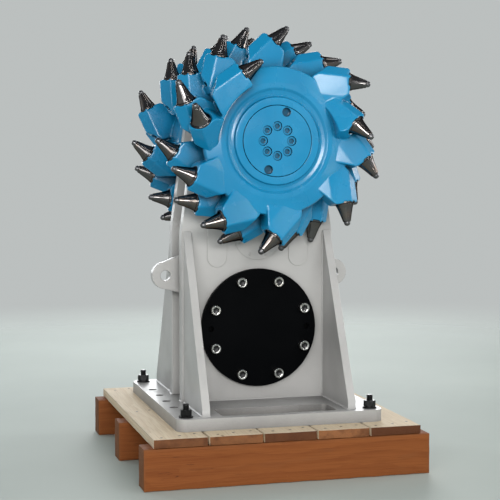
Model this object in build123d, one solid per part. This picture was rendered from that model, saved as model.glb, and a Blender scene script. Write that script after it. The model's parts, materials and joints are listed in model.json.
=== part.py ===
from build123d import *
import math
import os

os.makedirs("parts", exist_ok=True)

# Double-drum milling head for an excavator, standing upside down on its
# mounting flange, bolted to a timber pallet. Millimetres. +Z up, origin on the
# floor under the middle of the pallet. X runs across the head, Y along the
# drum shaft; the front is at -Y.

# ---------------------------------------------------------------- dimensions
# pallet
BEARER_L, BEARER_W, BEARER_H = 812.0, 75.0, 114.0      # along X, along Y, up
BEARER_Y = (-377.5, 0.0, 377.5)
BOARD_T = 25.0
BOARD_L = 830.0                                        # along Y
BOARD_W = 148.4
BOARD_GAP = 4.0
BOARD_N = 5
DECK_TOP = BEARER_H + BOARD_T

# mounting flange of the head
PLATE_X, PLATE_Y, PLATE_T = 596.0, 682.0, 34.0
PLATE_R = 28.0
Z0 = DECK_TOP + PLATE_T                                # top face of the flange
WINDOW_X = 334.0                                       # opening between gussets
WINDOW_Y0, WINDOW_Y1 = 212.0, 316.0
HOLE_X = 267.0
HOLE_D = 25.0
OPEN_HOLE_Y = (51.0, 153.0)
STUD_HOLE_Y = 306.0
STUD_D, STUD_TOP = 18.0, 38.0
NUT_AF, NUT_H = 30.0, 18.0
WASHER_D, WASHER_T = 40.0, 4.0

# gear case
CASE_Y = 83.0                                          # outer face of the side plates
CASE_T = 33.0
CASE_IN = CASE_Y - CASE_T                              # inner face
CASE_W = 228.0                                         # half width
CASE_SHOULDER = 496.0                                  # above the flange
AXIS_H = 754.0                                         # drum axis above the flange
CASE_TOP_R = 190.0
SHELL_W = 186.0
SHELL_TOP_R = 156.0
SHELL_WALL = 20.0
ZA = Z0 + AXIS_H

# gussets
GUSSET_X0, GUSSET_X1 = 200.0, 223.0
GUSSET_FOOT = 313.0
GUSSET_TOE = 20.0
GUSSET_TOP_Y = 87.0

# lifting lugs
LUG_X, LUG_Z = 260.0, 364.0
LUG_R, LUG_HOLE_R, LUG_T = 40.0, 15.0, 24.0

# motor cover
COVER_R, COVER_T, COVER_Z = 172.5, 17.0, 213.0
COVER_PCR = 145.0
COVER_BOLT_D, COVER_BOLT_H, COVER_HEX = 30.0, 20.0, 17.0
COVER_BOLTS = [22.5 + 45.0 * k for k in range(8)]
COVER_JACK = (0.0, 180.0)
COVER_JACK_R = 8.0

# ports in the recessed sides: height above the flange, radius, thread radius
PORTS = [(247.0, 23.0, 13.2), (209.0, 12.0, 6.6), (285.0, 12.0, 6.6)]
PORT_OUT = 14.0

# idler cap and side pads of the gear case
IDLER_Z, IDLER_R, IDLER_T = 483.0, 72.0, 3.0
IDLER_PCR, IDLER_SCREW_R, IDLER_SCREW_H, IDLER_N = 60.0, 5.0, 1.6, 8
PAD_X0, PAD_X1, PAD_Z0, PAD_T = 94.0, 152.0, 391.0, 3.0
PAD_TOP = 655.0

# drum shaft and its bearings
SHAFT_R = 60.0
SHAFT_HALF = 262.0
BEARING_R = 92.0
BEARING_FIT = 0.3
SEAL_R, SEAL_T = 130.0, 6.0

# drum body, radius against distance from the middle of the shaft
HUB_FACE = 285.0
CORE_PROFILE = [  # (radius, distance)
    (SHAFT_R, 95.0), (168.0, 95.0), (186.0, 101.0), (192.0, 112.0),
    (192.0, 242.0), (203.0, 249.0), (207.0, 256.0), (207.0, 269.0), (204.0, 275.5),
    (170.0, 279.6), (167.0, 281.6), (146.0, 281.6), (140.0, 274.5), (130.0, 272.0), (122.0, 276.0), (120.0, 284.0),
    (100.0, 284.0), (100.0, 262.0), (SHAFT_R, 262.0),
]
FACE_END = 12                                          # the profile's points up to the hub's ring
HUB_R = 98.0
HUB_SCREW_PCR, HUB_SCREW_N = 41.0, 8
HUB_CBORE_R, HUB_CBORE_DEPTH = 14.0, 14.0
HUB_SCREW_R, HUB_SCREW_H, HUB_HEX = 12.0, 10.0, 14.0
HUB_HOLE_R, HUB_HOLE_PCR, HUB_HOLE_A = 13.0, 84.0, (72.0, 252.0)

# picks: length from seat to point, and the lean of the pick against the radius
PICK_LEN = 67.0
PICK_R = 29.0
PICK_PROFILE = [  # (radius, distance from seat)
    (0.0, -70.0), (15.2, -70.0), (15.2, 0.0), (PICK_R, 0.0), (PICK_R, 4.0),
    (26.0, 8.0), (20.5, 22.0), (15.5, 38.0), (11.5, 53.0), (9.0, 59.0), (8.5, 60.5),
    (6.5, 65.0), (3.0, PICK_LEN), (0.0, PICK_LEN),
]
LEAN = 36.0
# holder block: side profile as (height off the pick's axis, distance from seat)
HOLDER_W = 58.0
HOLDER_PROFILE = [
    (-41.0, 0.0), (-33.0, 5.0), (30.0, 5.0), (39.0, 0.0), (39.0, -60.0),
    (4.0, -104.0), (-90.0, -118.0), (-90.0, -52.0),
]
# its section across the pick: a ridge along the back, narrowing to the foot
HOLDER_SECTION = [  # (height off the pick's axis, half width)
    (39.0, 3.0), (14.0, HOLDER_W / 2), (-45.0, HOLDER_W / 2), (-90.0, 23.0),
]
BORE_R, BORE_DEPTH = 15.6, 80.0
FACE_SHANK = 16.0
FACE_COPE_R = 169.0                                    # their blocks stop short of the raised ring
# slot across the sloping back end, where the shank is driven out
SLOT_S0, SLOT_S1, SLOT_N0, SLOT_W = -86.0, -76.0, -8.0, 34.0

# the three rows round the rim: distance of the points from the shaft's middle
# and the tilt of the picks towards the end of the drum
ROW = {"inner": (121.0, 0.0), "middle": (180.5, 0.0), "outer": (272.0, 9.0)}
RIM_PICKS = [  # (angle of the point in degrees, row, radius of the point)
    (297.0, "inner", 328.0), (277.0, "middle", 313.0), (261.0, "outer", 316.0),
    (243.0, "middle", 320.0), (227.0, "outer", 318.0), (211.0, "middle", 318.0),
    (194.0, "outer", 306.0), (179.0, "middle", 322.0), (149.5, "outer", 324.0),
    (130.0, "inner", 332.0), (113.0, "middle", 324.0), (97.0, "inner", 328.0),
    (79.0, "middle", 330.0), (62.0, "inner", 324.0), (46.0, "middle", 322.0),
    (30.0, "outer", 320.0), (14.0, "inner", 328.0), (357.0, "middle", 322.0),
    (341.0, "outer", 318.0), (326.0, "middle", 324.0), (311.5, "outer", 318.0),
]
# picks on the outer face: seat angle, seat radius, seat distance, lean, tilt out
FACE_PICKS = [
    (120.3, 207.5, 305.0, 84.0, 10.0),
    (167.0, 228.5, 306.0, 46.0, 38.0),
    (12.0, 224.0, 306.0, 56.0, 32.0),
]

SIDES = (("front", -1), ("rear", 1))


# ------------------------------------------------------------------- helpers
def save(shape, name, color):
    shape.label = name
    shape.color = Color(*color)
    export_step(shape, f"parts/{name}.step")


def block(x0, x1, y0, y1, z0, z1):
    return Pos((x0 + x1) / 2, (y0 + y1) / 2, (z0 + z1) / 2) * Box(x1 - x0, y1 - y0, z1 - z0)


def disc_y(x, z, r, y0, y1):
    """cylinder along Y between two distances"""
    return Pos(x, (y0 + y1) / 2, z) * Rot(90, 0, 0) * Cylinder(r, abs(y1 - y0))


def xz_plate(points, y0, y1):
    """outline in X and Z, from y0 to y1"""
    face = make_face(Polyline([(x, z) for x, z in points], close=True))
    a, b = min(y0, y1), max(y0, y1)
    return Pos(0, b, 0) * extrude(Plane.XZ * face, amount=b - a)


def yz_plate(points, x0, x1):
    face = make_face(Polyline([(y, z) for y, z in points], close=True))
    return Pos(x0, 0, 0) * extrude(Plane.YZ * face, amount=x1 - x0)


def hexagon_y(x, z, af, y0, y1):
    """hexagonal prism along Y"""
    prism = extrude(RegularPolygon(af / 2, 6, major_radius=False), amount=abs(y1 - y0))
    return Pos(x, max(y0, y1), z) * Rot(90, 0, 0) * prism


def polar(r, deg):
    return r * math.cos(math.radians(deg)), r * math.sin(math.radians(deg))


def compound(solids):
    out = []
    for s in solids:
        out.extend(s.solids())
    return Compound(children=out)


def revolve_y(profile, sign):
    """closed profile of (radius, distance) revolved about the drum axis"""
    pts = [(r, sign * a) for r, a in profile]
    face = make_face(Polyline(pts, close=True))
    return Pos(0, 0, ZA) * revolve(face, Axis.Y, 360)


GREY, BLUE, BLACK = (0.72, 0.73, 0.72), (0.10, 0.50, 0.78), (0.03, 0.03, 0.03)
ZINC, STEEL = (0.75, 0.75, 0.72), (0.16, 0.15, 0.15)
WOOD, DECK = (0.60, 0.33, 0.18), (0.80, 0.68, 0.50)

# -------------------------------------------------------------------- pallet
save(compound([block(-BEARER_L / 2, BEARER_L / 2, y - BEARER_W / 2, y + BEARER_W / 2, 0, BEARER_H)
               for y in BEARER_Y]), "pallet_bearers", WOOD)

stud_xy = [(sx * HOLE_X, sy * STUD_HOLE_Y) for sx in (-1, 1) for sy in (-1, 1)]
stud_holes = [Pos(x, y, BEARER_H + BOARD_T / 2) * Cylinder(STUD_D / 2 + 0.5, BOARD_T + 2) for x, y in stud_xy]
boards = []
pitch = BOARD_W + BOARD_GAP
for k in range(BOARD_N):
    xc = (k - (BOARD_N - 1) / 2) * pitch
    board = block(xc - BOARD_W / 2, xc + BOARD_W / 2, -BOARD_L / 2, BOARD_L / 2, BEARER_H, DECK_TOP)
    for h in stud_holes:
        board = board - h
    boards.append(board)
save(compound(boards), "pallet_deck", DECK)

# ----------------------------------------------------------- mounting flange
plate = Pos(0, 0, DECK_TOP) * extrude(RectangleRounded(PLATE_X, PLATE_Y, PLATE_R), amount=PLATE_T)
for s in (-1, 1):
    ya, yb = sorted((s * WINDOW_Y0, s * WINDOW_Y1))
    window = Pos(0, (ya + yb) / 2, DECK_TOP - 1) * extrude(
        RectangleRounded(WINDOW_X, yb - ya, 14), amount=PLATE_T + 2)
    plate = plate - window
for sx in (-1, 1):
    for y in (*OPEN_HOLE_Y, STUD_HOLE_Y):
        for sy in (-1, 1):
            plate = plate - Pos(sx * HOLE_X, sy * y, DECK_TOP + PLATE_T / 2) * Cylinder(HOLE_D / 2, PLATE_T + 2)
save(plate, "mounting_flange", GREY)

# hold-down bolts through the corner holes into the deck
bolts = []
for x, y in stud_xy:
    stud = Pos(x, y, (BEARER_H + Z0 + STUD_TOP) / 2) * Cylinder(STUD_D / 2, Z0 + STUD_TOP - BEARER_H)
    washer = Pos(x, y, Z0 + WASHER_T / 2) * Cylinder(WASHER_D / 2, WASHER_T)
    nut = Pos(x, y, Z0 + WASHER_T) * extrude(RegularPolygon(NUT_AF / 2, 6, major_radius=False), amount=NUT_H)
    bolts.append(stud + washer + nut)
save(compound(bolts), "hold_down_bolts", BLACK)


# ----------------------------------------------------------------- gear case
def case_outline(half, shoulder, top_r, grow=0.0):
    """flat-sided housing with a round head about the drum axis"""
    w, r = half - grow, top_r - grow
    # the straight flank runs from the shoulder to the tangent of the head
    dx, dz = w, shoulder - AXIS_H
    dist = math.hypot(dx, dz)
    ang = math.atan2(dz, dx) + math.acos(r / dist)
    tx, tz = r * math.cos(ang), AXIS_H + r * math.sin(ang)
    return w, shoulder, tx, tz, r


def case_face(half, shoulder, top_r, grow=0.0, z_bottom=0.0):
    w, sh, tx, tz, r = case_outline(half, shoulder, top_r, grow)
    top = AXIS_H + r
    edges = [
        Line((-w, z_bottom), (w, z_bottom)), Line((w, z_bottom), (w, sh)), Line((w, sh), (tx, tz)),
        ThreePointArc((tx, tz), (0, top), (-tx, tz)),
        Line((-tx, tz), (-w, sh)), Line((-w, sh), (-w, z_bottom)),
    ]
    return make_face(Wire(edges))


def case_slab(face, y0, y1):
    a, b = min(y0, y1), max(y0, y1)
    return Pos(0, b, Z0) * extrude(Plane.XZ * face, amount=b - a)


for side, s in SIDES:
    slab = case_slab(case_face(CASE_W, CASE_SHOULDER, CASE_TOP_R), s * CASE_IN, s * CASE_Y)
    slab = slab - disc_y(0, ZA, BEARING_R, s * (CASE_IN - 5), s * (CASE_Y + 5))
    save(slab, f"case_plate_{side}", GREY)

shell = case_slab(case_face(SHELL_W, CASE_SHOULDER, SHELL_TOP_R), -CASE_IN, CASE_IN)
shell = shell - case_slab(case_face(SHELL_W, CASE_SHOULDER, SHELL_TOP_R, SHELL_WALL, -5.0),
                          -CASE_IN - 1, CASE_IN + 1)
save(shell, "case_shell", GREY)

# motor inside the case: a plain mass
save(block(-100, 100, -CASE_IN, CASE_IN, Z0 + COVER_Z - 100, Z0 + COVER_Z + 100), "hydraulic_motor", BLACK)

# gussets, front and rear, left and right
for side, s in SIDES:
    for hand, h in (("left", -1), ("right", 1)):
        pts = [(s * CASE_Y, Z0), (s * GUSSET_FOOT, Z0), (s * GUSSET_FOOT, Z0 + GUSSET_TOE),
               (s * GUSSET_TOP_Y, Z0 + CASE_SHOULDER), (s * CASE_Y, Z0 + CASE_SHOULDER)]
        xs = sorted((h * GUSSET_X0, h * GUSSET_X1))
        save(yz_plate(pts, *xs), f"gusset_{side}_{hand}", GREY)

# lifting lugs standing off the recessed sides of the case
for hand, h in (("left", -1), ("right", 1)):
    pts = [(h * SHELL_W, Z0 + 304), (h * SHELL_W, Z0 + 436), (h * (LUG_X + 6), Z0 + LUG_Z + LUG_R - 0.5),
           (h * LUG_X, Z0 + LUG_Z - LUG_R)]
    lug = xz_plate(pts, -LUG_T / 2, LUG_T / 2) + disc_y(h * LUG_X, Z0 + LUG_Z, LUG_R, -LUG_T / 2, LUG_T / 2)
    lug = lug - disc_y(h * LUG_X, Z0 + LUG_Z, LUG_HOLE_R, -LUG_T, LUG_T)
    save(lug, f"lifting_lug_{hand}", GREY)

# ports in the recessed sides: a round flange between two plugs
for hand, h in (("left", -1), ("right", 1)):
    ports = []
    for z, r, bore in PORTS:
        boss = Pos(h * (SHELL_W + PORT_OUT / 2), 0, Z0 + z) * Rot(0, 90, 0) * Cylinder(r, PORT_OUT)
        ports.append(boss - Pos(h * (SHELL_W + PORT_OUT / 2), 0, Z0 + z) * Rot(0, 90, 0) * Cylinder(bore, PORT_OUT + 1))
    save(compound(ports), f"side_ports_{hand}", GREY)

# covers, caps and bearings on both faces of the case
for side, s in SIDES:
    zc = Z0 + COVER_Z
    cover = disc_y(0, zc, COVER_R, s * CASE_Y, s * (CASE_Y + COVER_T))
    for ang in COVER_JACK:
        px, pz = polar(COVER_PCR, ang)
        cover = cover - disc_y(px, zc + pz, COVER_JACK_R, s * (CASE_Y + 4), s * (CASE_Y + COVER_T + 2))
    save(cover, f"motor_cover_{side}", BLACK)

    screws = []
    f = s * (CASE_Y + COVER_T)
    for ang in COVER_BOLTS:
        px, pz = polar(COVER_PCR, ang)
        head = disc_y(px, zc + pz, COVER_BOLT_D / 2, f, f + s * COVER_BOLT_H)
        head = head - hexagon_y(px, zc + pz, COVER_HEX, f + s * (COVER_BOLT_H - 11), f + s * (COVER_BOLT_H + 2))
        screws.append(head)
    save(compound(screws), f"cover_bolts_{side}", ZINC)

    zi = Z0 + IDLER_Z
    cap = disc_y(0, zi, IDLER_R, s * CASE_Y, s * (CASE_Y + IDLER_T))
    save(cap, f"idler_cap_{side}", GREY)
    fi = s * (CASE_Y + IDLER_T)
    tips = []
    for k in range(IDLER_N):
        px, pz = polar(IDLER_PCR, 22.5 + k * 360 / IDLER_N)
        tips.append(disc_y(px, zi + pz, IDLER_SCREW_R, fi, fi + s * IDLER_SCREW_H))
    save(compound(tips), f"idler_screws_{side}", ZINC)

    pads = []
    for h in (-1, 1):
        xm, rr = h * (PAD_X0 + PAD_X1) / 2, (PAD_X1 - PAD_X0) / 2
        xs = sorted((h * PAD_X0, h * PAD_X1))
        ys = sorted((s * CASE_Y, s * (CASE_Y + PAD_T)))
        pads.append(block(*xs, *ys, Z0 + PAD_Z0 + rr, Z0 + PAD_TOP)
                    + disc_y(xm, Z0 + PAD_Z0 + rr, rr, s * CASE_Y, s * (CASE_Y + PAD_T)))
    save(compound(pads), f"case_pads_{side}", GREY)

    ring = [(SHAFT_R + BEARING_FIT, CASE_IN), (BEARING_R, CASE_IN), (BEARING_R, CASE_Y), (SEAL_R, CASE_Y),
            (SEAL_R, CASE_Y + SEAL_T), (SHAFT_R + BEARING_FIT, CASE_Y + SEAL_T)]
    save(revolve_y(ring, s), f"shaft_bearing_{side}", GREY)

# --------------------------------------------------------------------- rotor
save(disc_y(0, ZA, SHAFT_R, -SHAFT_HALF, SHAFT_HALF), "drum_shaft", STEEL)


def frame_at(origin, axis, outward):
    """local Z along the pick, local X off it in the plane of its lean"""
    return Plane(origin=origin, x_dir=outward, z_dir=axis)


def vec(deg, s):
    """radial and clockwise unit vectors seen from the front, on either drum"""
    c, n = math.cos(math.radians(deg)), math.sin(math.radians(deg))
    return Vector(c, 0, n), Vector(n, 0, -c)


def rim_frame(deg, row, r, s):
    rad, cw = vec(deg, s)
    lean = math.radians(LEAN)
    place, tilt = ROW[row]
    tl = math.radians(tilt)
    flat = rad * math.cos(lean) + cw * math.sin(lean)
    axis = flat * math.cos(tl) + Vector(0, s, 0) * math.sin(tl)
    outward = rad * math.sin(lean) - cw * math.cos(lean)
    tip = Vector(0, s * place, ZA) + rad * r
    return frame_at(tip - axis * PICK_LEN, axis, outward)


def face_frame(deg, r, a, lean, tilt, s):
    rad, cw = vec(deg, s)
    ln, tl = math.radians(lean), math.radians(tilt)
    flat = rad * math.cos(ln) + cw * math.sin(ln)
    side_n = rad * math.sin(ln) - cw * math.cos(ln)
    out = Vector(0, s, 0)
    axis = flat * math.cos(tl) + out * math.sin(tl)
    # the block's back faces outwards from the drum's face
    outward = side_n
    return frame_at(Vector(0, s * a, ZA) + rad * r, axis, outward)


pick_face = make_face(Polyline(PICK_PROFILE, close=True))
PICK = revolve(Plane.XZ * pick_face, Axis.Z, 360)
# the picks of the outer face have a stub shank
stub_face = make_face(Polyline([(r, max(z, -FACE_SHANK)) for r, z in PICK_PROFILE], close=True))
STUB_PICK = revolve(Plane.XZ * stub_face, Axis.Z, 360)

hf = make_face(Polyline(HOLDER_PROFILE, close=True))
HOLDER = extrude(Plane.XZ * hf, amount=HOLDER_W / 2, both=True)
section = make_face(Polyline([(n, -b) for n, b in HOLDER_SECTION]
                             + [(n, b) for n, b in reversed(HOLDER_SECTION)], close=True))
HOLDER = HOLDER & (Pos(0, 0, -130) * extrude(section, amount=140))
HOLDER = HOLDER - Pos(0, 0, 20 - BORE_DEPTH / 2) * Cylinder(BORE_R, BORE_DEPTH + 40)
HOLDER = HOLDER - block(SLOT_N0, 60.0, -SLOT_W / 2, SLOT_W / 2, SLOT_S0, SLOT_S1)
# the front of the block is dished so that the pick seats square on it
HOLDER = HOLDER - Pos(0, 0, 10) * Cylinder(PICK_R + 1.5, 20)

for side, s in SIDES:
    core = revolve_y(CORE_PROFILE, s)
    save(core, f"drum_body_{side}", BLUE)
    # plain solid of the drum, used to seat the holders on its skin
    skin = revolve_y([(0.0, 95.0), *CORE_PROFILE[1:FACE_END], (145.0, 287.0), (0.0, 287.0)], s)

    hub = disc_y(0, ZA, HUB_R, s * 262.0, s * HUB_FACE)
    for k in range(HUB_SCREW_N):
        px, pz = polar(HUB_SCREW_PCR, k * 360 / HUB_SCREW_N)
        hub = hub - disc_y(px, ZA + pz, HUB_CBORE_R, s * (HUB_FACE - HUB_CBORE_DEPTH), s * (HUB_FACE + 1))
    for ang in HUB_HOLE_A:
        px, pz = polar(HUB_HOLE_PCR, ang)
        hub = hub - disc_y(px, ZA + pz, HUB_HOLE_R, s * (HUB_FACE - 16), s * (HUB_FACE + 1))
    save(hub, f"hub_cap_{side}", BLUE)

    screws = []
    f0 = s * (HUB_FACE - HUB_CBORE_DEPTH)
    for k in range(HUB_SCREW_N):
        px, pz = polar(HUB_SCREW_PCR, k * 360 / HUB_SCREW_N)
        head = disc_y(px, ZA + pz, HUB_SCREW_R, f0, f0 + s * HUB_SCREW_H)
        head = head - hexagon_y(px, ZA + pz, HUB_HEX, f0 + s * 3, f0 + s * (HUB_SCREW_H + 1))
        screws.append(head)
    save(compound(screws), f"hub_screws_{side}", BLUE)

    rows = {"inner": [], "middle": [], "outer": []}
    picks = {"inner": [], "middle": [], "outer": [], "face": []}
    for deg, row, r in RIM_PICKS:
        fr = rim_frame(deg, row, r, s)
        holder = fr.location * HOLDER - skin
        rows[row].append(max(holder.solids(), key=lambda q: q.volume))
        picks[row].append(fr.location * PICK - skin if row == "outer" else fr.location * PICK)
    # the tilted blocks of the outer row are cut to fit against the middle row
    # and dished where a pick of the outer face sits against them
    dishes = [face_frame(*row, s).location * (Pos(0, 0, 10) * Cylinder(PICK_R + 2.0, 30)) for row in FACE_PICKS]
    for k, holder in enumerate(rows["outer"]):
        for other in rows["middle"] + picks["middle"] + dishes:
            holder = holder - other
        rows["outer"][k] = max(holder.solids(), key=lambda q: q.volume)
    faces = []
    for deg, r, a, lean, tilt in FACE_PICKS:
        fr = face_frame(deg, r, a, lean, tilt, s)
        holder = fr.location * HOLDER - skin - disc_y(0, ZA, FACE_COPE_R, s * 240.0, s * 360.0)
        for other in rows["outer"] + rows["middle"] + picks["outer"] + picks["middle"]:
            holder = holder - other
        faces.append(max(holder.solids(), key=lambda q: q.volume))
        picks["face"].append(fr.location * STUB_PICK)
    for row, solids in rows.items():
        save(compound(solids), f"pick_holders_{side}_{row}", BLUE)
    save(compound(faces), f"pick_holders_{side}_face", BLUE)
    for row, solids in picks.items():
        save(compound(solids), f"picks_{side}_{row}", STEEL)
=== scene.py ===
import bpy
import bmesh
import json
import math
import random
from mathutils import Vector, Matrix, geometry, noise

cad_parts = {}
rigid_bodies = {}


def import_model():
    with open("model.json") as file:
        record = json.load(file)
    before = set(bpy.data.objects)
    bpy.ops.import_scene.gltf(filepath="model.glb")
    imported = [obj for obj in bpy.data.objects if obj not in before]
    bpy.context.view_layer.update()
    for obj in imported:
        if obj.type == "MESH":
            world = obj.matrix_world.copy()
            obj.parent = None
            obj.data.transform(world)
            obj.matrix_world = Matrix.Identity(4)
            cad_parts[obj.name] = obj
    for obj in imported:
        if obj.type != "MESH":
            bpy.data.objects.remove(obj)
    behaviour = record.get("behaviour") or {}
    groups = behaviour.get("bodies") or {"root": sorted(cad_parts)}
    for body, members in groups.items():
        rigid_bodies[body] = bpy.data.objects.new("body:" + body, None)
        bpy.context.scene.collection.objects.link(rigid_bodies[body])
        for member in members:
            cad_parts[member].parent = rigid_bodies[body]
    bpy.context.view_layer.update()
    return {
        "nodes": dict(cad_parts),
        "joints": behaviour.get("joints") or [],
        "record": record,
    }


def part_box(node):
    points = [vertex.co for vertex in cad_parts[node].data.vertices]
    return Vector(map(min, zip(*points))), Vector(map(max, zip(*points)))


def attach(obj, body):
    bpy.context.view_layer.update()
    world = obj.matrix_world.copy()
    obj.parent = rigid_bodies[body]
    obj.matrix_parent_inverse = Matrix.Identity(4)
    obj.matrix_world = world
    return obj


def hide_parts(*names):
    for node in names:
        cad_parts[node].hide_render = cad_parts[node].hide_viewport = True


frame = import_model()
NODES = frame["nodes"]
RECORD = frame["record"]
SLOT = {s["node"]: s["material_slot"] for s in RECORD["subparts"]}
BODY = {n: b for b, ns in RECORD["behaviour"]["bodies"].items() for n in ns}
scene = bpy.context.scene
MM = 0.001

# ---------------------------------------------------------------- named places
ZA = frame["joints"][0]["pos_m"][2]                 # drum axis
Z0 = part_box("mounting_flange")[1].z                 # top face of the flange
DECK_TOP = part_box("pallet_deck")[1].z
DECK_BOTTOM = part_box("pallet_deck")[0].z
SIDES = (("front", -1), ("rear", 1))
HANDS = (("left", -1), ("right", 1))


# ------------------------------------------------------------ material helpers
class Finish:
    """a material built from nodes, with short words for the common ones"""

    def __init__(self, name):
        self.mat = bpy.data.materials.new(name)
        self.mat.use_nodes = True
        self.nt = self.mat.node_tree
        self.bsdf = self.nt.nodes["Principled BSDF"]

    def node(self, kind, **props):
        n = self.nt.nodes.new(kind)
        for k, v in props.items():
            setattr(n, k, v)
        return n

    def wire(self, a, b):
        self.nt.links.new(a, b)

    def coords(self, scale=(1, 1, 1), shift=(0, 0, 0)):
        tc = self.node("ShaderNodeTexCoord")
        mp = self.node("ShaderNodeMapping")
        mp.inputs["Scale"].default_value = scale
        mp.inputs["Location"].default_value = shift
        self.wire(tc.outputs["Object"], mp.inputs["Vector"])
        return mp.outputs["Vector"]

    def noise(self, vector, scale, detail=4.0, rough=0.5, distortion=0.0):
        n = self.node("ShaderNodeTexNoise")
        n.inputs["Scale"].default_value = scale
        n.inputs["Detail"].default_value = detail
        n.inputs["Roughness"].default_value = rough
        n.inputs["Distortion"].default_value = distortion
        self.wire(vector, n.inputs["Vector"])
        return n.outputs["Fac"]

    def ramp(self, value, lo, hi, a=0.0, b=1.0, smooth=True):
        n = self.node("ShaderNodeMapRange")
        n.interpolation_type = "SMOOTHSTEP" if smooth else "LINEAR"
        n.clamp = True
        self.wire(value, n.inputs["Value"])
        n.inputs["From Min"].default_value = lo
        n.inputs["From Max"].default_value = hi
        n.inputs["To Min"].default_value = a
        n.inputs["To Max"].default_value = b
        return n.outputs["Result"]

    def mix(self, fac, a, b):
        n = self.node("ShaderNodeMix", data_type="RGBA")
        for value, socket in ((fac, n.inputs[0]), (a, n.inputs[6]), (b, n.inputs[7])):
            if isinstance(value, bpy.types.NodeSocket):
                self.wire(value, socket)
            elif isinstance(value, (int, float)):
                socket.default_value = value
            else:
                socket.default_value = (*value, 1.0)
        return n.outputs[2]

    def math(self, op, a, b=None):
        n = self.node("ShaderNodeMath", operation=op)
        for value, socket in ((a, n.inputs[0]), (b, n.inputs[1])):
            if isinstance(value, bpy.types.NodeSocket):
                self.wire(value, socket)
            elif value is not None:
                socket.default_value = value
        return n.outputs[0]

    def attribute(self, name):
        return self.node("ShaderNodeAttribute", attribute_name=name).outputs["Fac"]

    def bump(self, layers):
        """layers: (height, strength, distance in metres), laid over each other"""
        last = None
        for height, strength, distance in layers:
            n = self.node("ShaderNodeBump")
            n.inputs["Strength"].default_value = strength
            n.inputs["Distance"].default_value = distance
            self.wire(height, n.inputs["Height"])
            if last is not None:
                self.wire(last, n.inputs["Normal"])
            last = n.outputs["Normal"]
        self.wire(last, self.bsdf.inputs["Normal"])

    def set(self, **values):
        for k, v in values.items():
            socket = self.bsdf.inputs[k.replace("_", " ")]
            if isinstance(v, bpy.types.NodeSocket):
                self.wire(v, socket)
            elif isinstance(v, (int, float)):
                socket.default_value = v
            else:
                socket.default_value = (*v, 1.0)
        return self.mat


def enamel(name, colour, light, dark, grime, rough, coat, grime_from=0.62, spec=0.5, painted_shade_reach_mm=70.0,
           painted_shade_depth=0.55, closed=0.15, clear=0.85):
    """sprayed paint: drifting tone, orange peel, faint soiling, edges lightened partly by rubbed wear and partly as a
    painted highlight, and painted shade in its corners and recesses
    """
    f = Finish(name)
    v = f.coords()
    tone = f.noise(v, 5.0, 3.0)
    base = f.mix(f.ramp(tone, 0.35, 0.65), dark, light)
    base = f.mix(0.5, base, colour)
    fleck = f.noise(v, 60.0, 3.0)
    base = f.mix(f.ramp(fleck, 0.45, 0.8, 0.0, 0.10), base, light)
    soil = f.noise(v, 13.0, 8.0, 0.68)
    soiled = f.ramp(soil, grime_from, grime_from + 0.18, 0.0, 0.5)
    base = f.mix(soiled, base, grime)
    streak = f.noise(f.coords((34.0, 34.0, 2.2)), 1.0, 4.0, 0.6)
    base = f.mix(f.ramp(streak, 0.60, 0.85, 0.0, 0.22), base, grime)
    # edges lighten in patches: partly rubbed wear, partly a painted highlight along the rounded edges
    edge = f.attribute("edge")
    rubbed_and_highlit = f.ramp(f.noise(v, 90.0, 4.0, 0.6), 0.40, 0.62, 0.10, 0.75)
    base = f.mix(f.math("MULTIPLY", edge, rubbed_and_highlit), base, light)
    bead = f.attribute("bead")
    base = f.mix(f.math("MULTIPLY", bead, 0.35), base, dark)
    # painted shade: the colour darkens towards a deep tone of the paint in corners, recesses and gaps between parts,
    # found by ambient occlusion
    corner = f.node("ShaderNodeAmbientOcclusion")
    corner.samples = 6
    corner.inputs["Distance"].default_value = painted_shade_reach_mm * MM
    shade = f.ramp(corner.outputs["AO"], closed, clear, painted_shade_depth, 0.0)
    base = f.mix(shade, base, tuple(0.22 * c for c in dark))
    roughness = f.ramp(f.noise(v, 9.0, 5.0), 0.3, 0.7, rough - 0.06, rough + 0.08)
    roughness = f.math("ADD", roughness, f.math("MULTIPLY", soiled, 0.25))
    f.bump([(f.noise(v, 1400.0, 2.0), 0.004, 0.0004), (f.noise(v, 260.0, 2.0), 0.035, 0.0006),
            (f.noise(v, 22.0, 2.0), 0.10, 0.0025)])
    return f.set(Base_Color=base, Roughness=roughness, Coat_Weight=coat, Coat_Roughness=0.10, IOR=1.5,
                 Specular_IOR_Level=spec)


def bare_steel(name, dark, light, rough, ring=0.0, tint=None, tint_edge=1.0):
    """machined metal, with turning marks along the "along" attribute"""
    f = Finish(name)
    v = f.coords()
    along = f.attribute("along")
    mark = f.noise(f.coords((0.0, 0.0, 0.0)), 1.0, 0.0)
    comb = f.node("ShaderNodeCombineXYZ")
    f.wire(f.math("MULTIPLY", along, 160.0), comb.inputs[0])
    turned = f.noise(comb.outputs[0], 1.0, 4.0, 0.6)
    cloudy = f.noise(v, 70.0, 4.0, 0.6)
    base = f.mix(f.ramp(turned, 0.3, 0.7), dark, light)
    base = f.mix(f.ramp(cloudy, 0.45, 0.75, 0.0, 0.45), base, dark)
    if tint is not None:
        base = f.mix(f.ramp(f.noise(v, 38.0, 3.0), 0.48, 0.66, 0.0, 0.6), base, tint)
    roughness = f.math("ADD", f.ramp(turned, 0.2, 0.8, rough - 0.04, rough + 0.06),
                       f.ramp(cloudy, 0.5, 0.8, 0.0, 0.08))
    f.nt.nodes.remove(mark.node)
    f.bump([(turned, 0.07 * ring, 0.0005), (f.noise(v, 500.0, 2.0), 0.004, 0.0003)])
    return f.set(Base_Color=base, Metallic=1.0, Roughness=roughness, Specular_Tint=(tint_edge,) * 3)


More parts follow.
